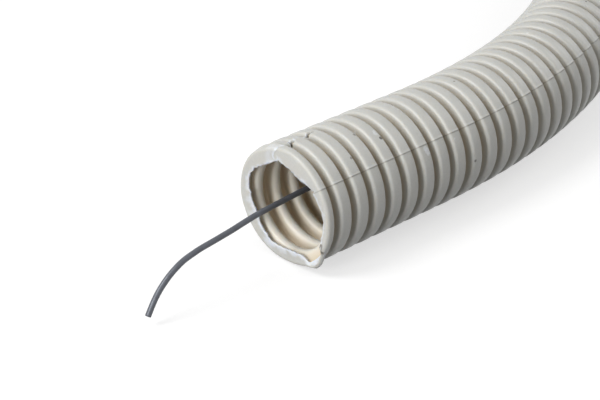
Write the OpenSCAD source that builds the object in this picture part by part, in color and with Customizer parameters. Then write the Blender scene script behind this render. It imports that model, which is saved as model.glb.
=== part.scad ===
// Corrugated conduit: a length of pliable ribbed PVC conduit with its steel draw wire.
// Millimetres. The conduit lies on a level floor. The origin is on its axis, in the middle of the
// first crest at the torn mouth. The near run leaves it at a slant to +X, a bend turns it in line
// with +X, and the far run ends in a clean cut.

/* [Conduit section] */
// Outside diameter over the crests
outside_d = 25; // [20:0.5:32]
// Distance from one rib to the next
pitch = 4.6; // [4.4:0.1:6]
// Depth of a groove, from crest to floor
groove_depth = 2.3; // [1.8:0.1:2.8]
// Thickness of the moulded wall
wall = 0.5; // [0.4:0.05:0.5]
// Width of a crest between the outer faces of its walls
crest_w = 3; // [2.6:0.1:3.2]
// Radius of the shoulder on each side of a crest
shoulder_r = 0.7; // [0.5:0.05:0.8]
// Radius where a wall runs into the groove's floor
root_fillet_r = 0.3; // [0.2:0.05:0.35]
// Lean of a wall away from square
wall_lean = 8; // [4:1:10]

/* [Length and lie] */
// Length the piece is sold in, measured along its axis
piece_length = 1000; // [700:50:1500]
// Ribs in the straight run behind the mouth
mouth_ribs = 9; // [6:1:20]
// Radius of the bend, on the conduit's axis
bend_r = 155; // [120:5:200]
// Angle that the bend turns through
bend_angle = 30; // [20:1:40]

/* [Torn mouth] */
// How much narrower the first crest is, where its torn wall is pressed back
mouth_press = 1; // [0.6:0.1:1.2]
// How far the tear reaches into the first rib
tear_depth = 1.3; // [1:0.1:1.6]

/* [Draw wire] */
// Diameter of the wire
wire_d = 1.2; // [0.8:0.1:2]
// Length of wire that stands out of the far end
wire_tail = 15; // [5:5:40]

/* [Hidden] */
crest_r = outside_d / 2;
root_r = crest_r - groove_depth;
bore_r = root_r - wall;
// A wall is tangent to the shoulder's circle and to the fillet's circle.
shoulder_x = crest_w / 2 - shoulder_r;
fillet_x = shoulder_x + (shoulder_r + root_fillet_r
    + (groove_depth - shoulder_r - root_fillet_r) * sin(wall_lean)) / cos(wall_lean);
rigid_w = 2 * fillet_x;
floor_w = pitch - rigid_w;
// The bend's crests stay rigid and its groove floors flex, each by the same angle.
rib_count = round(piece_length / pitch);
flex_count = round(bend_r * bend_angle * PI / 180 / pitch);
flex_angle = bend_angle / flex_count;
flex_r = floor_w / (flex_angle * PI / 180);
bend_y = flex_r + rigid_w / 2 / tan(flex_angle / 2);
far_ribs = rib_count - mouth_ribs - (flex_count - 1);
// Middles of the first rib and of the near run's last rib, along the near run.
first_at = -mouth_press / 2;
mouth_at = first_at + mouth_press - fillet_x;
turn_at = first_at + (mouth_ribs - 1) * pitch;
// Middle of the far run's first rib.
far_at = [turn_at * cos(bend_angle) + bend_y * sin(bend_angle),
    -turn_at * sin(bend_angle) - bend_y * (1 - cos(bend_angle)), 0];
far_end = far_at[0] + (far_ribs - 1) * pitch + fillet_x;
// A flexed floor starts and ends this far inside the ribs beside it.
lap = 0.05;
lap_angle = lap / flex_r * 180 / PI;
// Outline of the torn wall as [left, up] on a 25 mm conduit, seen along the near run.
TEAR = [[-3, 3], [-5.8, 7.5], [-7.2, 6.9], [-8.2, 6.7], [-8.5, 5.7], [-9.4, 4.4], [-10.4, 3], [-11, 1.5],
    [-10.8, -0.8], [-10.2, -3.1], [-10, -4.6], [-9.8, -5.4], [-10.5, -6.3], [-9.1, -8.2], [-7.7, -9.5],
    [-6.7, -9.9], [-5.8, -9.3], [-4.9, -8.9], [-3.8, -8.8], [-3, -3]];
// The wire's route as [distance along the conduit's axis, left, up], from its tip to the far run.
ROUTE = [[-35, 0, -10.4], [-33.5, 0, -7.9], [-32, 0, -6], [-30, 0, -4.2], [-28, 0, -2.9], [-26, 0, -2],
    [-24, 0, -1.5], [-22, 0, -1.1], [-19.5, 0, -0.8], [-17, 0, -0.5], [-14, 0, -0.1], [-11, 0, 0.4],
    [-7.5, 0, 0.9], [-1, 0, 1.4], [6, 0, 1.8], [15, 0, 1.6], [26, 0, 0.5], [38, 0, -1.8], [52, 0, -4.7],
    [66, 0, -7.1], [80, 0, -8.5], [95, 0, -9], [115, 0, -9]];
FAR_STEPS = 16;
WIRE_SIDES = 8;

// Half of a rib's section, as [radius, distance along], from its crest to its groove's floor.
// skin is 0 for the outside and the wall's thickness for the inside.
function half_rib(skin, crest_steps) = concat(
    [for (i = [0 : crest_steps]) let (a = (90 - wall_lean) * i / max(1, crest_steps), r = shoulder_r - skin)
        [crest_r - shoulder_r + r * cos(a), shoulder_x + r * sin(a)]],
    [for (a = [90 - wall_lean, 0]) let (r = root_fillet_r + skin)
        [root_r + root_fillet_r - r * cos(a), fillet_x - r * sin(a)]]);
function turned_round(half, press) = [for (i = [len(half) - 1 : -1 : 0]) [half[i][0], press - half[i][1]]];
function whole_rib(half, x, press) = [for (p = concat(turned_round(half, press), half)) [p[0], p[1] + x]];
function row(half, count, press) =
    [for (i = [0 : count - 1]) each whole_rib(half, i * pitch, i == 0 ? press : 0)];
function backwards(points) = [for (i = [len(points) - 1 : -1 : 0]) points[i]];

// A straight row of ribs along +X, the first one's middle at x = 0, with a flat ring at each end.
// press narrows the first rib from its open side.
module ribs(count, press = 0) {
    rotate([0, 90, 0]) rotate_extrude($fn = 96)
        polygon(concat(row(half_rib(0, 2), count, press), backwards(row(half_rib(wall, 0), count, press))));
}

// The flexed floor between a rib with its middle at the origin and the next one round the bend.
module flexed_floor() {
    translate([rigid_w / 2, flex_r, 0]) rotate([0, 0, -90 - lap_angle])
        rotate_extrude(angle = flex_angle + 2 * lap_angle, $fn = 360) translate([flex_r, 0]) difference() {
            circle(r = root_r - 0.05, $fn = 96);
            circle(r = bore_r + 0.1, $fn = 96);
        }
}

// Turns what follows round the bend by that many ribs.
module round_bend(i) {
    translate([0, bend_y, 0]) rotate([0, 0, i * flex_angle]) translate([0, -bend_y, 0]) children();
}

// Ribs a to b - 1 of the bend, each with the floor before it, in the place that rib m has as the origin.
// Halves are joined in line with where they meet, so that the faces they share stay square to the axes.
module bend_ribs(a, b, m) {
    if (b - a <= 2)
        for (i = [a : b - 1]) {
            round_bend(i - m) ribs(1);
            round_bend(i - 1 - m) flexed_floor();
        }
    else let (mid = floor((a + b) / 2))
        round_bend(mid - m) union() { bend_ribs(a, mid, mid); bend_ribs(mid, b, mid); }
}

// The near run along +X, its first rib torn open inside the outline.
module mouth_run() {
    difference() {
        translate([first_at, 0, 0]) ribs(mouth_ribs, mouth_press);
        translate([mouth_at - 1, 0, 0]) rotate([90, 0, 90]) linear_extrude(1 + tear_depth)
            polygon([for (p = TEAR) p * outside_d / 25]);
    }
}

module conduit() {
    color([0.8, 0.8, 0.77]) {
        rotate([0, 0, -bend_angle]) {
            mouth_run();
            translate([turn_at, 0, 0]) {
                bend_ribs(1, flex_count, 0);
                round_bend(flex_count - 1) flexed_floor();
            }
        }
        translate(far_at) ribs(far_ribs);
    }
}

// A point at a distance along the conduit's axis, moved left of it and up.
function beside_axis(s, left, up) = let (
        turn_l = bend_y * bend_angle * PI / 180,
        t = min(1, max(0, (s - turn_at) / turn_l)),
        h = bend_angle * (t - 1),
        on_arc = far_at + [bend_y * sin(h), bend_y * (1 - cos(h)), 0],
        run = t == 0 ? s - turn_at : t == 1 ? s - turn_at - turn_l : 0)
    on_arc + run * [cos(h), sin(h), 0] + left * [-sin(h), cos(h), 0] + [0, 0, up];

// The wire keeps the same clearance from the bore's floor at every size.
wire_rise = (bore_r - wire_d / 2 - 0.1) / 9;
wire_end = turn_at + bend_y * bend_angle * PI / 180 + far_end - far_at[0] + wire_tail;
last_hand = ROUTE[len(ROUTE) - 1];
route = concat(ROUTE, [for (i = [1 : FAR_STEPS])
    [last_hand[0] + (wire_end - last_hand[0]) * i / FAR_STEPS, 0, last_hand[2]]]);
// A smooth curve through the route's points, two rings for each stretch.
function curved(a, b, c, d, t) = 0.5 * (2 * b + (c - a) * t + (2 * a - 5 * b + 4 * c - d) * t * t
    + (3 * b - a - 3 * c + d) * t * t * t);
function route_point(i) = route[min(len(route) - 1, max(0, i))];
wire_line = [for (i = [0 : len(route) - 1]) each i == len(route) - 1 ? [route[i]]
    : [for (t = [0, 0.5]) curved(route_point(i - 1), route[i], route_point(i + 1), route_point(i + 2), t)]];
wire_middle = [for (p = wire_line) beside_axis(p[0], p[1], p[2] * wire_rise)];
function unit(v) = v / norm(v);
function ring(points, i) = let (
        n = len(points) - 1,
        along = unit(points[min(n, i + 1)] - points[max(0, i - 1)]),
        side = unit(cross([0, 0, 1], along)),
        over = cross(along, side))
    [for (k = [0 : WIRE_SIDES - 1]) let (a = 360 * (k + 0.5) / WIRE_SIDES)
        points[i] + wire_d / 2 * (cos(a) * side + sin(a) * over)];

module draw_wire() {
    n = len(wire_middle);
    color([0.33, 0.34, 0.36]) polyhedron(
        points = [for (i = [0 : n - 1]) each ring(wire_middle, i)],
        faces = concat([[for (k = [0 : WIRE_SIDES - 1]) k]],
            [for (i = [0 : n - 2], k = [0 : WIRE_SIDES - 1])
                let (j = (k + 1) % WIRE_SIDES, a = i * WIRE_SIDES, b = a + WIRE_SIDES) [a + k, b + k, b + j, a + j]],
            [[for (k = [WIRE_SIDES - 1 : -1 : 0]) (n - 1) * WIRE_SIDES + k]]));
}

conduit();
draw_wire();
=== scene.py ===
import bpy, bmesh
from math import sin, cos, tan, radians, degrees, pi, atan2, hypot
from mathutils import Vector, Matrix, noise


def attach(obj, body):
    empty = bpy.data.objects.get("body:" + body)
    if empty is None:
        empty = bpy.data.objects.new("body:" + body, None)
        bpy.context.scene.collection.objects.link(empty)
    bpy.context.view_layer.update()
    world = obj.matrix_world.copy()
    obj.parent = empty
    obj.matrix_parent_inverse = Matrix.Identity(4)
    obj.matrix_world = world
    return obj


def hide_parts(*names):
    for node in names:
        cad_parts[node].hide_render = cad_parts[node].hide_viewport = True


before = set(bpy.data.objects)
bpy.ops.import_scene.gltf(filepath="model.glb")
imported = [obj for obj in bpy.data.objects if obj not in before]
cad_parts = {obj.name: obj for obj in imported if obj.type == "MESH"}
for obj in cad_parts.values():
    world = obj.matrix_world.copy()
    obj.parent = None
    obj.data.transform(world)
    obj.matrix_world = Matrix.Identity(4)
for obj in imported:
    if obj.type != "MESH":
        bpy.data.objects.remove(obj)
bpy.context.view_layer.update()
mm = 0.001
print("stage: frame loaded")

# where the camera stands, how it is turned in degrees, its lens and sensor in mm, and its limits in metres
cameraSet = {"place": (-0.3018, -0.0943, 0.1693), "down": 62.0, "turn": -73.1, "lens": 111.36,
             "sensor": 36, "clip": (0.01, 10)}


def makeCamera(view):
    data = bpy.data.cameras.new("camera")
    data.lens = view["lens"]
    data.sensor_width = view["sensor"]
    data.clip_start, data.clip_end = view["clip"]
    cam = bpy.data.objects.new("camera", data)
    cam.location = view["place"]
    cam.rotation_euler = (radians(view["down"]), 0, radians(view["turn"]))
    bpy.context.scene.collection.objects.link(cam)
    bpy.context.scene.camera = cam


makeCamera(cameraSet)

# the conduit in mm and degrees
conduit = {
    "crestR": 12.5, "pitch": 4.6, "groove": 2.3, "wall": 0.5, "crestW": 3.0,
    "shoulderR": 0.7, "rootR": 0.3, "lean": 8.0,
    "length": 1000, "mouthRibs": 9, "bendR": 155, "bendAngle": 30, "press": 1.0,
    # up to which rib the mesh is fine, and the steps round the torn mouth, the fine run and the far run
    "fineRibs": 24, "tearSteps": 168, "fineSteps": 64, "farSteps": 26,
    # how many ribs show their hollow at the far end
    "endRibs": 6,
    # the steps over a shoulder's round and a root's round, outside, in the hollow and on the far run
    "outerRound": (4, 3), "hollowRound": (1, 2), "farRound": (1, 1),
    # a parting line's angle, how far it stands out, the painted shadow along one side of it, and where it
    # starts
    "seamAt": 143.0, "seamRise": 0.14, "seamShadow": 0.42, "seamFrom": -0.2,
    # the mesh's first two steps beside a parting line are drawn in to these angles from it, and the ones up
    # to step seamSpread are evened out
    "seamFoot": (0.7, 1.7), "seamSpread": 6,
    # how near to a whole step and to the line a point counts as on it
    "onStep": 0.05, "onLine": 0.01,
}
c = conduit
footR = c["crestR"] - c["groove"]
boreR = footR - c["wall"]
shoulderX = c["crestW"] / 2 - c["shoulderR"]
lean = radians(c["lean"])
footX = shoulderX + (c["shoulderR"] + c["rootR"]
                     + (c["groove"] - c["shoulderR"] - c["rootR"]) * sin(lean)) / cos(lean)
rigidW = 2 * footX
ribCount = round(c["length"] / c["pitch"])
flexCount = round(c["bendR"] * radians(c["bendAngle"]) / c["pitch"])
flexAngle = radians(c["bendAngle"]) / flexCount
flexR = (c["pitch"] - rigidW) / flexAngle
bendY = flexR + rigidW / 2 / tan(flexAngle / 2)
firstAt = -c["press"] / 2
turnAt = firstAt + (c["mouthRibs"] - 1) * c["pitch"]
farRibs = ribCount - c["mouthRibs"] - (flexCount - 1)
bend = radians(c["bendAngle"])
nearTurn = Matrix.Rotation(-bend, 4, "Z")
farAt = Vector((turnAt * cos(bend) + bendY * sin(bend), -turnAt * sin(bend) - bendY * (1 - cos(bend)), 0))
farEnd = farAt.x + (farRibs - 1) * c["pitch"] + footX


def besideAxis(s, left, up):
    # a point at a distance along the axis, moved left of it and up
    turnLong = bendY * bend
    t = min(1, max(0, (s - turnAt) / turnLong))
    h = bend * (t - 1)
    run = s - turnAt if t == 0 else s - turnAt - turnLong if t == 1 else 0
    onArc = farAt + Vector((bendY * sin(h), bendY * (1 - cos(h)), 0))
    along, beside = Vector((cos(h), sin(h), 0)), Vector((-sin(h), cos(h), 0))
    return onArc + run * along + left * beside + Vector((0, 0, up))


def onConduit(p):
    # ribs keep their shape round the bend and the groove floors between them flex
    s, left, up = p
    k = (s - turnAt) / c["pitch"]
    if k <= 0:
        return nearTurn @ Vector(p)
    if k >= flexCount:
        return farAt + Vector((s - turnAt - flexCount * c["pitch"], left, up))
    i = int(k + 0.5)
    off = s - turnAt - i * c["pitch"]
    if abs(off) > footX:
        i = int(k)
        off = s - turnAt - i * c["pitch"] - footX
        a = off / (c["pitch"] - rigidW) * flexAngle
        off, left = footX + (flexR - left) * sin(a), flexR - (flexR - left) * cos(a)
    h = i * flexAngle
    across = bendY - left
    q = Vector((turnAt + across * sin(h) + off * cos(h), bendY - across * cos(h) + off * sin(h), up))
    return nearTurn @ q


# the draw wire in mm, how finely its curve and its round are stepped, and how near two points are made one
wire = {
    "thick": 1.2, "tail": 15, "farSteps": 16, "smooth": 6, "round": 3, "weld": 0.001,
    # distance along the conduit's axis, left, up
    "route": [(-35, 0, -10.4), (-33.5, 0, -7.9), (-32, 0, -6), (-30, 0, -4.2), (-28, 0, -2.9), (-26, 0, -2),
              (-24, 0, -1.5), (-22, 0, -1.1), (-19.5, 0, -0.8), (-17, 0, -0.5), (-14, 0, -0.1), (-11, 0, 0.4),
              (-7.5, 0, 0.9), (-1, 0, 1.4), (6, 0, 1.8), (15, 0, 1.6), (26, 0, 0.5), (38, 0, -1.8),
              (52, 0, -4.7), (66, 0, -7.1), (80, 0, -8.5), (95, 0, -9), (115, 0, -9)],
}


def wireLine(w):
    last = w["route"][-1]
    end = turnAt + bendY * bend + farEnd - farAt.x + w["tail"]
    pts = w["route"] + [(last[0] + (end - last[0]) * (i + 1) / w["farSteps"], 0, last[2])
                        for i in range(w["farSteps"])]
    pts = [Vector(p) for p in pts]
    pick = lambda i: pts[min(len(pts) - 1, max(0, i))]
    line = []
    # a smooth curve through the points
    for i in range(len(pts) - 1):
        p, q, r, v = pick(i - 1), pts[i], pick(i + 1), pick(i + 2)
        for j in range(w["smooth"]):
            t = j / w["smooth"]
            line.append(0.5 * (2 * q + (r - p) * t + (2 * p - 5 * q + 4 * r - v) * t ** 2
                               + (3 * q - p - 3 * r + v) * t ** 3))
    line.append(pts[-1])
    return [besideAxis(*p) * mm for p in line]


def makeWire(w):
    line = wireLine(w)
    curve = bpy.data.curves.new("drawWire", "CURVE")
    curve.dimensions = "3D"
    curve.bevel_depth = w["thick"] / 2 * mm
    curve.bevel_resolution = w["round"]
    curve.use_fill_caps = True
    spline = curve.splines.new("POLY")
    spline.points.add(len(line) - 1)
    for point, p in zip(spline.points, line):
        point.co = (*p, 1)
    spline.use_smooth = True
    path = bpy.data.objects.new("wirePath", curve)
    bpy.context.scene.collection.objects.link(path)
    mesh = bpy.data.meshes.new_from_object(path.evaluated_get(bpy.context.evaluated_depsgraph_get()))
    bpy.data.objects.remove(path)
    bm = bmesh.new()
    bm.from_mesh(mesh)
    bmesh.ops.remove_doubles(bm, verts=bm.verts, dist=w["weld"] * mm)
    bmesh.ops.recalc_face_normals(bm, faces=bm.faces)
    bm.to_mesh(mesh)
    bm.free()
    piece = bpy.data.objects.new("drawWire", mesh)
    bpy.context.scene.collection.objects.link(piece)
    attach(piece, "root")
    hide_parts("draw_wire")
    return piece


drawWire = makeWire(wire)
print("stage: wire")

# the torn mouth: angles go round from the left side over the top, and sizes are in mm
mouth = {
    # the torn wall's edge: angle, radius, distance along
    "edge": [(0, 9.6, -0.9), (14, 10.3, -0.9), (24, 10.1, -0.9), (35, 9.7, -0.9), (48, 9.0, -0.8),
             (62, 8.8, -0.8), (74, 9.2, -0.8), (80, 9.7, -0.9), (88, 9.1, -0.9), (100, 8.8, -0.9),
             (116, 8.5, -0.9), (126, 8.9, -0.9), (135, 9.8, -0.9), (141, 10.5, -0.8), (146, 10.1, -0.9),
             (155, 10.3, -0.9), (164, 10.7, -0.8), (168, 10.5, -0.8), (172, 11, -0.8), (184, 10.7, -0.8),
             (197, 10.6, -0.8), (205, 10.9, -0.8), (209, 11.1, -0.8), (211, 12.0, -0.5), (215, 12.0, -0.4),
             (222, 12.0, -0.4), (231, 12.0, -0.7), (236, 12, -0.6), (238, 11.2, -0.7), (241, 10.3, -0.9),
             (246, 9.9, -0.9), (255, 9.6, -0.9), (268, 9.4, -0.9), (285, 9.8, -0.9), (295, 10.2, -0.9),
             (305, 9.7, -0.9), (315, 9.5, -0.9), (324, 9.0, -0.9), (333, 8.9, -0.9), (348, 9.2, -0.9),
             (360, 9.6, -0.9)],
    # how far the first crest's face is pushed along: angle, distance
    "push": [(0, -0.3), (30, -0.3), (55, 0), (110, 0), (180, 0.1), (230, 0.3), (258, 0.55), (280, 0.45),
             (305, 0.2), (330, -0.05), (350, -0.3), (360, -0.3)],
    # how far the first crest stands out or in: angle, distance
    "swell": [(0, 0), (40, -0.1), (62, -0.4), (84, -0.15), (95, 0), (208, 0), (214, 0.3), (223, 0.9),
              (231, 1.0), (238, 0.4), (244, 0), (264, -0.3), (285, -0.1), (300, 0), (360, 0)],
    # how far the torn edge's white reaches: angle, share of the reach further down
    "whitened": [(0, 0.9), (30, 0.5), (75, 0.8), (85, 0.6), (100, 0.25), (116, 0.4), (126, 1.0),
                 (133, 0.3), (150, 0.25), (162, 0.5), (166, 1.0), (172, 0.4), (205, 0.5), (240, 1.3),
                 (300, 1.5), (335, 1.0), (350, 1.4), (360, 1.0)],
    # ribs with the mouth's mesh, rings from the crest to the torn edge, steps over half a crest's flat
    "ribs": 3, "wallRings": 8, "flatSteps": 2,
    # how raggedly the edge is torn, the size and radius of its teeth, and a finer layer's share and scale
    "ragged": 0.26, "raggedSize": 0.8, "raggedR": 11, "raggedFiner": (0.6, 2.3),
    # the whitening's reach and least reach, its patches' share and scale, and a finer layer's share and scale
    "white": 1.1, "leastReach": 0.05, "patchShare": 1.3, "patchScale": 0.45, "patchFiner": (0.4, 1.9),
    # the least that stays of the first crest's flat and of the open wall
    "leastFlat": 0.1, "leastWall": 0.05,
    # how much of the push reaches the torn edge, how far the wall's inner side lies below the outer at the
    # crest, its share of the wall's thickness at the edge, and how far it lies above the outer there
    "edgePush": 0.8, "innerDrop": 0.07, "edgeThick": 0.8, "edgeRise": 0.05,
    # what each wall point's share has on top, which would tell even one at the crest from a rib's point
    "wallShare": 0.001,
    # how deep the wall's outer side seems at the edge, which gives it some of the grooves' grime and painted
    # shade, and how far apart its points start along and inwards
    "wallRecess": 0.3, "wallGap": (0.1, 0.01),
    # the paler inner side under the scar, where the hollows' painted shade is lighter: angles where it fades
    # in and out, how deep it seems, its fade along
    "innerPale": (52, 60, 83, 88), "innerPaleDeep": 0.35, "innerPaleEnd": (0.5, 2.2),
    # where the mesh is twice as fine: from, to along and from, to round
    "finer": (-3, 8.9, 64, 96),
    # the scar on top, where grooves are pressed shut: from, to along; angles where it fades in, out; radius
    "scar": [(0.5, 4.2, 34, 46, 82.5, 85.5, 12.2), (4.5, 9.0, 52, 60, 83, 88, 11.8)],
    # pits and white cracks: along, angle, reach along, reach round in mm, depth, whiteness, darkness; the
    # whiteness is crack whitening and, beside the pits and on a rib's end, painted highlight; the darkness is
    # painted shade in the pits and holes, with brown dirt
    "marks": [(2.75, 82.3, 0.6, 0.55, 1.3, 0, 1.5), (2.2, 82.6, 0.3, 0.5, 0, 0.7, 0),
              (3.5, 82.0, 0.3, 0.7, -0.1, 0.7, 0), (2.5, 79.4, 0.6, 0.3, 0, 0.5, 0),
              (-1.0, 78.6, 0.5, 0.4, 0.25, 0.7, 0), (-0.6, 79.4, 0.4, 0.35, 0.25, 0.6, 0),
              (-0.2, 81.3, 0.3, 0.35, 0.2, 0.55, 0), (0.2, 82.6, 0.4, 0.5, 0.1, 0.6, 0),
              (-0.6, 71, 0.9, 1.6, 0, 0.3, 0), (7.4, 80.3, 0.8, 0.45, 0.8, 0, 1.1),
              (6.6, 79.0, 0.4, 0.4, 0, 0.6, 0), (8.3, 81.5, 0.4, 0.4, 0.1, 0, 0.5),
              (7.2, 78.2, 0.5, 0.25, 0, 0.5, 0), (4.6, 79.5, 0.5, 0.4, 0.1, 0.3, 0),
              (5.6, 83.5, 0.5, 0.5, 0.1, 0.25, 0), (-0.6, 8, 0.6, 1.6, 0.1, 0.6, 0),
              (-0.8, 338, 0.4, 1.2, 0.1, 0.6, 0), (-0.9, 209.3, 0.6, 0.5, 0.3, 0, 1.0),
              (-0.2, 211.5, 0.35, 0.5, 0.1, 0.7, 0), (-0.1, 206, 0.4, 0.4, 0.2, 0.5, 0)],
    # a mark's fading edge, how raggedly it ends and how finely, and how many degrees the marks wander half
    # way down the torn wall
    "markEdge": (0.45, 1.1), "markRagged": 0.35, "markFine": 1.7, "wander": 6.0,
}


def between(table, at, column=1):
    # a table's value between its two nearest rows
    for p, q in zip(table, table[1:]):
        if p[0] <= at <= q[0]:
            return p[column] + (q[column] - p[column]) * (at - p[0]) / (q[0] - p[0])
    return table[-1][column]


def halfRib(skin, crestSteps, footSteps, flatSteps=0):
    # half of a rib's section as (distance along, radius), from its crest to its groove's floor
    full = pi / 2 - lean
    r = max(0, c["shoulderR"] - skin)
    half = [(shoulderX * (i + 0.5) / (flatSteps + 0.5), c["crestR"] - skin) for i in range(flatSteps)]
    half += [(shoulderX + r * sin(full * i / max(1, crestSteps)),
             c["crestR"] - skin - r + r * cos(full * i / max(1, crestSteps))) for i in range(crestSteps + 1)]
    r = c["rootR"] + skin
    return half + [(footX - r * sin(full * (1 - i / footSteps)),
                    footR + c["rootR"] - r * cos(full * (1 - i / footSteps))) for i in range(footSteps + 1)]


def ribLine(first, last, skin, crestSteps, footSteps, flatSteps=0):
    # ribs first to last - 1, with how deep each point lies in its recess and which side it is on
    half = halfRib(skin, crestSteps, footSteps, flatSteps)
    line = []
    for i in range(first, last):
        at = firstAt + i * c["pitch"]
        line += [(at - x, r) for x, r in reversed(half)] + [(at + x, r) for x, r in half]

    def deep(r):
        return (r - boreR if skin else c["crestR"] - r) / c["groove"]

    return [{"x": x, "r": r, "recess": deep(r), "inside": 1.0 if skin else 0.0, "share": 0.0}
            for x, r in line]


def spun(bm, line, steps):
    # turns a line of points round the axis, starting at the parting line
    a = radians(c["seamAt"])
    layers = {k: bm.verts.layers.float[k] for k in ("recess", "inside", "share")}
    verts = []
    for p in line:
        v = bm.verts.new((p["x"], p["r"] * cos(a), p["r"] * sin(a)))
        for k, layer in layers.items():
            v[layer] = p[k]
        verts.append(v)
    edges = [bm.edges.new(pair) for pair in zip(verts, verts[1:])]
    bmesh.ops.spin(bm, geom=verts + edges, cent=(0, 0, 0), axis=(1, 0, 0), angle=2 * pi, steps=steps,
                   use_merge=True)


def rimEdges(bm, x, r, near=0.01):
    # the open edges of one rim
    return [e for e in bm.edges if e.is_boundary and all(
        abs(v.co.x - x) < near and abs(hypot(v.co.y, v.co.z) - r) < near for v in e.verts)]


def fade(value, low, high):
    # 0 up to low, 1 from high, and smooth between
    t = min(1, max(0, (value - low) / (high - low)))
    return t * t * (3 - 2 * t)


def angleOf(v):
    # a point's angle round the axis
    return degrees(atan2(v.co.z, v.co.y)) % 360


def finerTop(bm, m):
    # halves the outer mesh's steps where the scar and its marks lie
    x0, x1, low, high = m["finer"]
    inside = bm.verts.layers.float["inside"]

    def within(v):
        return (x0 < v.co.x < x1 and low < angleOf(v) < high and not v[inside]
                and v.co.y ** 2 + v.co.z ** 2 > boreR ** 2)

    close = [e for e in bm.edges if all(within(v) for v in e.verts)]
    bmesh.ops.subdivide_edges(bm, edges=close, cuts=1, use_grid_fill=True)


def shapeMouth(bm, m):
    # pushes the first rib's face along and gives its open wall the torn edge
    share, inside, torn = (bm.verts.layers.float[k] for k in ("share", "inside", "torn"))
    topR = c["crestR"] - c["shoulderR"] + c["shoulderR"] * sin(lean)
    topX = firstAt + c["press"] - shoulderX - c["shoulderR"] * cos(lean)
    for v in bm.verts:
        at = v.co.x - firstAt
        if at > shoulderX and v[share] == 0:
            continue
        a = angleOf(v)
        push = between(m["push"], a)
        swell = between(m["swell"], a)
        if v[share] == 0:
            # the crest narrows from its open side, and stands out or in there
            narrow = min(c["press"] + push, 2 * shoulderX - m["leastFlat"])
            near = min(1, (shoulderX - at) / (2 * shoulderX))
            v.co.x += narrow * near
            r = hypot(v.co.y, v.co.z)
            v.co.y, v.co.z = v.co.y * (r + swell * near) / r, v.co.z * (r + swell * near) / r
            continue
        t = max(0, abs(v[share]) - m["wallShare"])
        turn = Vector((0, cos(radians(a)), sin(radians(a))))
        spot = turn * m["raggedR"] / m["raggedSize"]
        finerShare, finer = m["raggedFiner"]
        rough = noise.noise(spot) + finerShare * noise.noise(spot * finer)
        edgeR = min(topR - m["leastWall"], between(m["edge"], a) + m["ragged"] * rough)
        edgeX = between(m["edge"], a, 2) + push * m["edgePush"]
        inner = 1 if v[inside] else 0
        start = Vector((topX + inner * c["wall"], topR - inner * m["innerDrop"]))
        end = Vector((edgeX + inner * c["wall"] * m["edgeThick"], edgeR + inner * m["edgeRise"]))
        start += Vector((push, swell))
        p = start.lerp(end, t)
        v.co = turn * p.y + Vector((p.x, 0, 0))
        finerShare, finer = m["patchFiner"]
        patchy = noise.noise(spot * m["patchScale"] + Vector((p.y, 0, 0)))
        patchy += finerShare * noise.noise(spot * finer)
        reach = m["white"] * between(m["whitened"], a) * (1 + m["patchShare"] * patchy)
        v[torn] = max(0, 1 - (p.y - edgeR) / max(m["leastReach"], reach))


def scarMouth(bm, m):
    # presses grooves shut along the top and leaves the pits and white cracks, with painted shade in the pits
    # and holes and painted highlights beside some marks
    names = ("share", "inside", "torn", "shadeAndDirt", "recess")
    share, inside, torn, shadeAndDirt, recess = (bm.verts.layers.float[k] for k in names)
    p0, p1, p2, p3 = m["innerPale"]
    for v in bm.verts:
        a, r = angleOf(v), hypot(v.co.y, v.co.z)
        if v[inside]:
            pale = fade(a, p0, p1) * (1 - fade(a, p2, p3)) * (1 - fade(v.co.x, *m["innerPaleEnd"]))
            v[recess] += (m["innerPaleDeep"] - v[recess]) * pale
            continue
        x, before = v.co.x, r
        if not v[share]:
            for low, high, a0, a1, a2, a3, level in m["scar"]:
                if low < x < high and r < level:
                    r += (level - r) * fade(a, a0, a1) * (1 - fade(a, a2, a3))
            v[recess] = max(0, v[recess] - (r - before) / c["groove"])
        drift = m["wander"] * sin(pi * min(1, v[share]))
        for s, angle, alongReach, roundReach, depth, white, dark in m["marks"]:
            aside = radians((a + drift - angle + 180) % 360 - 180) * c["crestR"]
            away = hypot((x - s) / alongReach, aside / roundReach)
            away += m["markRagged"] * noise.noise(Vector((x, radians(a) * c["crestR"], s)) * m["markFine"])
            mask = 1 - fade(away, *m["markEdge"])
            r -= depth * mask
            # whiteness: crack whitening, and painted highlights at the pits and rib ends; darkness: painted
            # shade in pits and holes, and brown dirt
            v[torn] = max(v[torn], white * mask)
            v[shadeAndDirt] = max(v[shadeAndDirt], dark * mask)
        v.co.y, v.co.z = r * cos(radians(a)), r * sin(radians(a))


def makeMouth(bm, m):
    # the first ribs outside, the two sides of the open wall, and the first ribs' hollow
    ribs, rings, start = m["ribs"], m["wallRings"], m["wallShare"]
    outer = ribLine(0, ribs, 0, *c["outerRound"], m["flatSteps"])[c["outerRound"][1] + 1:]
    hollow = ribLine(0, ribs, c["wall"], *c["hollowRound"])[c["hollowRound"][1] + 1:]
    # the wall's points have their order and share here, and shapeMouth gives them their places
    x, r = outer[0]["x"], c["crestR"] - c["wall"]
    across, inward = m["wallGap"]
    wall = [dict(x=x, r=r - i * inward, recess=m["wallRecess"] * i / rings, inside=0.0,
                 share=start + i / rings) for i in range(1, rings + 1)]
    back = [dict(x=x + across, r=r - i * inward, recess=1 - i / rings, inside=1.0,
                 share=start + i / rings) for i in range(rings, 0, -1)]
    spun(bm, list(reversed(outer)) + wall + back + hollow, c["tearSteps"])
    finerTop(bm, m)
    shapeMouth(bm, m)
    scarMouth(bm, m)
    print("stage: torn mouth,", len(bm.verts), "points")


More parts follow.
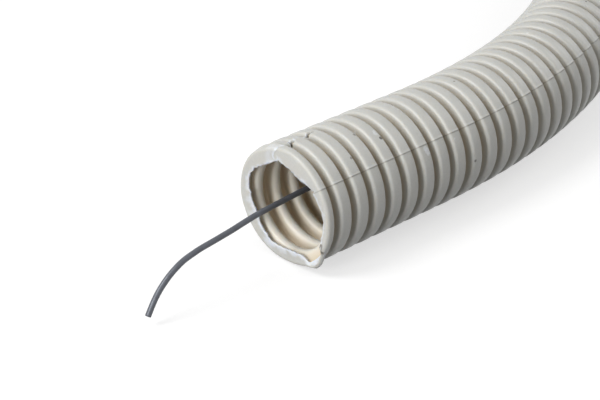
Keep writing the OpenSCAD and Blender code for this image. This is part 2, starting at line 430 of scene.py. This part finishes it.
def makeRun(bm, m):
    # the ribs behind the mouth, then the plainer far run and its cut end
    ribs, fine = m["ribs"], c["fineRibs"]
    spun(bm, ribLine(ribs, fine, 0, *c["outerRound"]), c["fineSteps"])
    spun(bm, ribLine(ribs, fine, c["wall"], *c["hollowRound"]), c["fineSteps"])
    plain = ribLine(fine, fine + 1, c["wall"], *c["farRound"])[0]
    endBore = ribLine(ribCount - c["endRibs"], ribCount, c["wall"], *c["farRound"])
    spun(bm, ribLine(fine, ribCount, 0, *c["farRound"]) + list(reversed(endBore)) + [plain], c["farSteps"])
    # the groove floors that join the three stretches
    for rib in (ribs, fine):
        at = firstAt + (rib - 1) * c["pitch"] + footX
        for r in (footR, boreR):
            bmesh.ops.bridge_loops(bm, edges=rimEdges(bm, at, r) + rimEdges(bm, at + c["pitch"] - rigidW, r))
    print("stage: ribs,", len(bm.verts), "points,", sum(len(f.verts) - 2 for f in bm.faces), "triangles")


def layInBend(bm, m):
    # makes the two parting lines, fine ridges along the outside, with a painted shadow beside the upper one,
    # and lays the conduit in its bend
    inside, shadeAndDirt = bm.verts.layers.float["inside"], bm.verts.layers.float["shadeAndDirt"]
    near, foot = c["seamFoot"]
    spread = c["seamSpread"]
    mouthEnd = firstAt + (m["ribs"] - 0.5) * c["pitch"]
    fineEnd = firstAt + (c["fineRibs"] - 0.5) * c["pitch"]
    for v in bm.verts:
        s, r = v.co.x, hypot(v.co.y, v.co.z)
        angle = degrees(atan2(v.co.z, v.co.y)) - c["seamAt"]
        off = (angle + 90) % 180 - 90
        halfTurns = round((angle - off) / 180)
        step = 360 / (c["tearSteps"] if s < mouthEnd else c["fineSteps"])
        n = off / step
        if s < fineEnd and abs(n - round(n)) < c["onStep"] and 0.5 < abs(n) < spread:
            k = round(abs(n))
            wide = (near, foot)[k - 1] if k < 3 else foot + (spread * step - foot) * (k - 2) / (spread - 2)
            off = wide if n > 0 else -wide
            # painted shadow: the first step on one side of the upper parting line's ridge is darkened
            if not v[inside] and k == 1 and n > 0 and v.co.z > 0:
                v[shadeAndDirt] = max(v[shadeAndDirt], c["seamShadow"])
        a = radians(off + c["seamAt"] + halfTurns * 180)
        if abs(off) < c["onLine"] and not v[inside] and s > firstAt + c["seamFrom"]:
            r += c["seamRise"]
        v.co = onConduit((s, r * cos(a), r * sin(a))) * mm


def makeConduit(m):
    bm = bmesh.new()
    for name in ("recess", "inside", "share", "torn", "shadeAndDirt"):
        bm.verts.layers.float.new(name)
    makeMouth(bm, m)
    makeRun(bm, m)
    layInBend(bm, m)
    bmesh.ops.recalc_face_normals(bm, faces=bm.faces)
    for f in bm.faces:
        f.smooth = True
    print("open edges:", sum(e.is_boundary for e in bm.edges))
    mesh = bpy.data.meshes.new("conduit")
    bm.to_mesh(mesh)
    bm.free()
    piece = bpy.data.objects.new("corrugatedConduit", mesh)
    bpy.context.scene.collection.objects.link(piece)
    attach(piece, "root")
    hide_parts("conduit")
    return piece


corrugated = makeConduit(mouth)
print("stage: conduit")


def newMaterial(name):
    mat = bpy.data.materials.new(name)
    mat.use_nodes = True
    nodes, links = mat.node_tree.nodes, mat.node_tree.links
    return mat, nodes, links, nodes["Principled BSDF"]


def srgb(*colour):
    # an ordinary colour, 0 to 255, made linear
    parts = [v / 255 for v in colour]
    return tuple(v / 12.92 if v <= 10 / 255 else ((v + 0.055) / 1.055) ** 2.4 for v in parts) + (1,)


def node(nodes, kind, values=(), **props):
    n = nodes.new(kind)
    for k, v in props.items():
        setattr(n, k, v)
    for k, v in dict(values).items():
        n.inputs[k].default_value = v
    return n


def mixed(nodes, links, a, b, factor, kind="MIX"):
    # a colour mix whose inputs are either sockets or plain colours
    n = nodes.new("ShaderNodeMix")
    n.data_type, n.blend_type = "RGBA", kind
    for socket, value in ((n.inputs["A"], a), (n.inputs["B"], b), (n.inputs["Factor"], factor)):
        if isinstance(value, bpy.types.NodeSocket):
            links.new(value, socket)
        else:
            socket.default_value = value
    return n.outputs["Result"]


def sums(nodes, links, operation, *values, clamp=False):
    # a Math node whose inputs are either sockets or plain values
    n = nodes.new("ShaderNodeMath")
    n.operation, n.use_clamp = operation, clamp
    for socket, value in zip(n.inputs, values):
        if isinstance(value, bpy.types.NodeSocket):
            links.new(value, socket)
        else:
            socket.default_value = value
    return n.outputs[0]


def makeGrain():
    # the uneven grain that both finishes use, on the piece's own coordinates
    group = bpy.data.node_groups.new("grain", "ShaderNodeTree")
    for name in ("Scale", "Detail"):
        group.interface.new_socket(name, in_out="INPUT", socket_type="NodeSocketFloat")
    group.interface.new_socket("Amount", in_out="OUTPUT", socket_type="NodeSocketFloat")
    nodes, links = group.nodes, group.links
    given, made = node(nodes, "NodeGroupInput"), node(nodes, "NodeGroupOutput")
    place = node(nodes, "ShaderNodeTexCoord")
    uneven = node(nodes, "ShaderNodeTexNoise")
    links.new(place.outputs["Object"], uneven.inputs["Vector"])
    for name in ("Scale", "Detail"):
        links.new(given.outputs[name], uneven.inputs[name])
    links.new(uneven.outputs["Fac"], made.inputs["Amount"])
    return group


grainGroup = makeGrain()


def grainAt(nodes, scale, detail):
    grain = node(nodes, "ShaderNodeGroup", node_tree=grainGroup)
    grain.inputs["Scale"].default_value = scale
    grain.inputs["Detail"].default_value = detail
    return grain.outputs["Amount"]


pvcLook = {
    # the groove colour is brownish grime with painted shade, deepest on the groove floors
    "crest": srgb(206, 206, 202), "crestDull": srgb(195, 195, 190), "groove": srgb(190, 177, 154),
    # the inner ridge colour is painted light, for light through the thin wall; the hollow colour is painted
    # shade in the inner hollows; the bluish white is torn-edge whitening and painted highlights
    "ridgeInside": srgb(226, 223, 214), "hollow": srgb(208, 193, 167), "torn": srgb(216, 220, 226),
    # the first colour on the next line is painted shade in pits, holes and beside the parting line, and brown
    # dirt
    "shadeAndDirt": srgb(86, 78, 62), "speck": srgb(70, 66, 58), "scuff": srgb(226, 228, 230),
    "roughness": 0.4, "mottle": 0.3,
    # how the colour, with its painted shade, changes with depth, outside and inside, and how far grain holds
    # the white back
    "outsideCurve": 1.6, "insideCurve": 0.8, "tornPatch": 0.75,
    # scale and detail of each grain
    "broad": (90, 3), "fine": (900, 4), "grain": (2600, 2), "scratch": (260, 6),
    # light that goes into the wall: share, reach of red, green and blue, and size in mm
    "translucent": 0.35, "translucentReach": (1.0, 0.82, 0.6), "translucentSize": 0.7,
    # specks anywhere: scale, size and strength; scuffs: from which grain to which they grow, and strength
    "specks": (130, 0.035, 0.7), "scuffs": (0.71, 0.78, 0.8),
    # the bump's strength and its depth in mm
    "bump": (0.35, 0.06),
    # where a spot starts and ends fading, in its sizes, and how raggedly
    "spotEdge": (-0.1, 0.25), "spotRagged": 1.6,
    # marks on the crests: along, angle, size in mm, strength, which colour
    "spots": [(18.8, 122, 0.42, 0.95, "speck"), (40.0, 178.6, 0.36, 0.7, "speck"),
              (9.6, 128, 0.3, 0.6, "speck"), (14.2, 108, 0.35, 0.6, "speck"),
              (24.6, 140, 0.55, 0.6, "scuff"), (24.9, 142, 0.4, 0.6, "scuff"),
              (27.4, 147, 0.6, 0.6, "scuff"), (27.7, 150, 0.7, 0.6, "scuff"),
              (27.6, 153, 0.4, 0.5, "scuff"), (18.4, 116, 0.5, 0.5, "scuff"),
              (18.6, 113, 0.4, 0.5, "scuff")],
}


def pvcMaterial(look):
    mat, nodes, links, bsdf = newMaterial("palePvc")
    place = node(nodes, "ShaderNodeTexCoord").outputs["Object"]
    recess, inside, torn, shadeAndDirt = (node(nodes, "ShaderNodeAttribute", attribute_name=name).outputs["Fac"]
                                  for name in ("recess", "inside", "torn", "shadeAndDirt"))
    broad, fine, grain, scratch = (grainAt(nodes, *look[name])
                                   for name in ("broad", "fine", "grain", "scratch"))
    # the skin outside and the hollow, from crest to groove: the grooves outside darken with brownish grime
    # and painted shade
    skin = mixed(nodes, links, look["crest"], look["crestDull"], broad)
    speckled = mixed(nodes, links, skin, look["crestDull"], grain, "MULTIPLY")
    skin = mixed(nodes, links, skin, speckled, look["mottle"])
    deep = sums(nodes, links, "POWER", recess, look["outsideCurve"], clamp=True)
    outside = mixed(nodes, links, skin, look["groove"], deep)
    # inside, the ridges are painted pale as painted light through the thin wall, and the hollows darker and
    # warmer as painted shade
    deep = sums(nodes, links, "POWER", recess, look["insideCurve"], clamp=True)
    hollow = mixed(nodes, links, look["ridgeInside"], look["hollow"], deep)
    colour = mixed(nodes, links, outside, hollow, inside)
    # the torn edge's white and the painted highlights, then the painted shade of pits, holes and the parting
    # line, and dirt
    patchy = sums(nodes, links, "ADD", fine, look["tornPatch"])
    white = sums(nodes, links, "MULTIPLY", torn, patchy, clamp=True)
    colour = mixed(nodes, links, colour, look["torn"], white)
    colour = mixed(nodes, links, colour, look["shadeAndDirt"], shadeAndDirt)
    # marks at their own places, then a few specks and pale scuffs anywhere
    low, high = look["spotEdge"]
    for s, angle, size, strength, tone in look["spots"]:
        a = radians(angle)
        spot = onConduit((s, c["crestR"] * cos(a), c["crestR"] * sin(a))) * mm
        gap = node(nodes, "ShaderNodeVectorMath", {1: spot}, operation="DISTANCE")
        links.new(place, gap.inputs[0])
        ragged = -look["spotRagged"] * size * mm
        rough = sums(nodes, links, "MULTIPLY_ADD", fine, ragged, gap.outputs["Value"])
        near = node(nodes, "ShaderNodeMapRange", {"From Min": low * size * mm, "From Max": high * size * mm,
                                                  "To Min": strength, "To Max": 0})
        links.new(rough, near.inputs["Value"])
        colour = mixed(nodes, links, colour, look[tone], near.outputs["Result"])
    scale, size, strength = look["specks"]
    cells = node(nodes, "ShaderNodeTexVoronoi", {"Scale": scale, "Randomness": 1})
    links.new(place, cells.inputs["Vector"])
    speck = sums(nodes, links, "LESS_THAN", cells.outputs["Distance"], size)
    colour = mixed(nodes, links, colour, look["speck"], sums(nodes, links, "MULTIPLY", speck, strength))
    low, high, strength = look["scuffs"]
    rare = node(nodes, "ShaderNodeMapRange", {"From Min": low, "From Max": high, "To Max": strength})
    links.new(scratch, rare.inputs["Value"])
    colour = mixed(nodes, links, colour, look["scuff"], rare.outputs["Result"])
    links.new(colour, bsdf.inputs["Base Color"])
    bsdf.inputs["Roughness"].default_value = look["roughness"]
    bsdf.inputs["Subsurface Weight"].default_value = look["translucent"]
    bsdf.inputs["Subsurface Radius"].default_value = look["translucentReach"]
    bsdf.inputs["Subsurface Scale"].default_value = look["translucentSize"] * mm
    strength, depth = look["bump"]
    bump = node(nodes, "ShaderNodeBump", {"Strength": strength, "Distance": depth * mm})
    links.new(sums(nodes, links, "ADD", fine, grain), bump.inputs["Height"])
    links.new(bump.outputs["Normal"], bsdf.inputs["Normal"])
    return mat


wireLook = {"steel": srgb(104, 108, 116), "dull": srgb(78, 80, 86), "roughness": 0.4, "metal": 0.4,
            "grain": (700, 3)}


def wireMaterial(look):
    mat, nodes, links, bsdf = newMaterial("dullSteel")
    uneven = grainAt(nodes, *look["grain"])
    links.new(mixed(nodes, links, look["steel"], look["dull"], uneven), bsdf.inputs["Base Color"])
    bsdf.inputs["Roughness"].default_value = look["roughness"]
    bsdf.inputs["Metallic"].default_value = look["metal"]
    return mat


corrugated.data.materials.append(pvcMaterial(pvcLook))
drawWire.data.materials.append(wireMaterial(wireLook))
print("stage: materials")

# the floor's colour and glow as the camera sees them, its colour as light meets it, its finish, its place and
# half size in metres, and how strongly the world lights the piece
studio = {"floorSeen": 0.45, "floorGlow": 0.62, "floorBounce": 0.2, "floorRough": 0.9, "floorShine": 0.1,
          "floorAt": (0.5, 0, -0.0126), "floorHalf": 6, "world": 0.4}
# place, size, energy and aim of each lamp
lamps = {
    "key": ((-0.40, 0.44, 0.65), 0.4, 4.2, (0.03, 0, 0)),
    "front": ((-0.76, 0.30, 0.27), 0.35, 3.6, (0.03, 0, 0)),
    "side": ((0.9, -0.7, 0.55), 0.6, 2.8, (0.6, -0.04, 0)),
}


def grey(v):
    return (v, v, v, 1)


def makeStage(st):
    bm = bmesh.new()
    bmesh.ops.create_grid(bm, x_segments=1, y_segments=1, size=st["floorHalf"])
    bmesh.ops.translate(bm, verts=bm.verts, vec=st["floorAt"])
    mesh = bpy.data.meshes.new("floor")
    bm.to_mesh(mesh)
    bm.free()
    floor = bpy.data.objects.new("floor", mesh)
    bpy.context.scene.collection.objects.link(floor)
    mat, nodes, links, bsdf = newMaterial("paleFloor")
    seen = seenRay(nodes, links)
    base = mixed(nodes, links, grey(st["floorBounce"]), grey(st["floorSeen"]), seen)
    glow = mixed(nodes, links, grey(0), grey(st["floorGlow"]), seen)
    links.new(base, bsdf.inputs["Base Color"])
    links.new(glow, bsdf.inputs["Emission Color"])
    bsdf.inputs["Emission Strength"].default_value = 1
    bsdf.inputs["Roughness"].default_value = st["floorRough"]
    bsdf.inputs["Specular IOR Level"].default_value = st["floorShine"]
    floor.data.materials.append(mat)


def seenRay(nodes, links):
    # 1 where the camera looks, also in a mirror or through glass
    ray = nodes.new("ShaderNodeLightPath").outputs
    mirrored = sums(nodes, links, "MAXIMUM", ray["Is Glossy Ray"], ray["Is Transmission Ray"])
    return sums(nodes, links, "MAXIMUM", ray["Is Camera Ray"], mirrored)


def areaLight(name, place, size, energy, aim):
    data = bpy.data.lights.new(name, "AREA")
    data.shape, data.size, data.energy = "DISK", size, energy
    lamp = bpy.data.objects.new(name, data)
    lamp.location = place
    lamp.rotation_euler = (Vector(aim) - Vector(place)).to_track_quat("-Z", "Y").to_euler()
    bpy.context.scene.collection.objects.link(lamp)


def makeWorld(st):
    world = bpy.data.worlds.new("world")
    bpy.context.scene.world = world
    world.use_nodes = True
    nodes, links = world.node_tree.nodes, world.node_tree.links
    back = nodes["Background"]
    back.inputs["Color"].default_value = grey(1)
    seen = seenRay(nodes, links)
    strength = sums(nodes, links, "MULTIPLY_ADD", seen, 1 - st["world"], st["world"])
    links.new(strength, back.inputs["Strength"])


makeStage(studio)
makeWorld(studio)
for name, lamp in lamps.items():
    areaLight(name, *lamp)
bpy.context.scene.view_settings.view_transform = "Standard"
print("stage: light")

bpy.context.view_layer.update()
